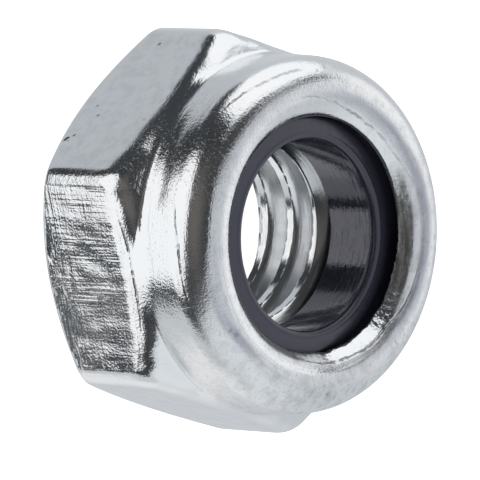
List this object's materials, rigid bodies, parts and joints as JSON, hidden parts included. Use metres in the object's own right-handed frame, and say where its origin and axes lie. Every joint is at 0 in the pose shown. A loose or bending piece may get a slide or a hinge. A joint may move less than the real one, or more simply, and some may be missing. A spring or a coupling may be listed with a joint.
{
  "type": "nylon insert lock nut",
  "caption": "Hexagon lock nut of zinc-plated steel, whose collar is rolled over a dark nylon ring that grips the screw's thread.",
  "frame": {"origin": "middle of the bearing face, on the thread's axis", "axes": "+Z along the thread's axis, from the bearing face to the rolled collar; two opposite corners of the hexagon lie on X, and two opposite flats face +Y and -Y"},
  "size_m": [0.0114, 0.01, 0.006],
  "materials": {
    "zinc_plated_steel": "bright zinc plate, glossy, with fine scratches on the flats",
    "dark_nylon": "semi-gloss dark blue-grey nylon"
  },
  "bodies": {
    "root": {"nut_body": "zinc_plated_steel", "nylon_ring": "dark_nylon"}
  },
  "joints": []
}
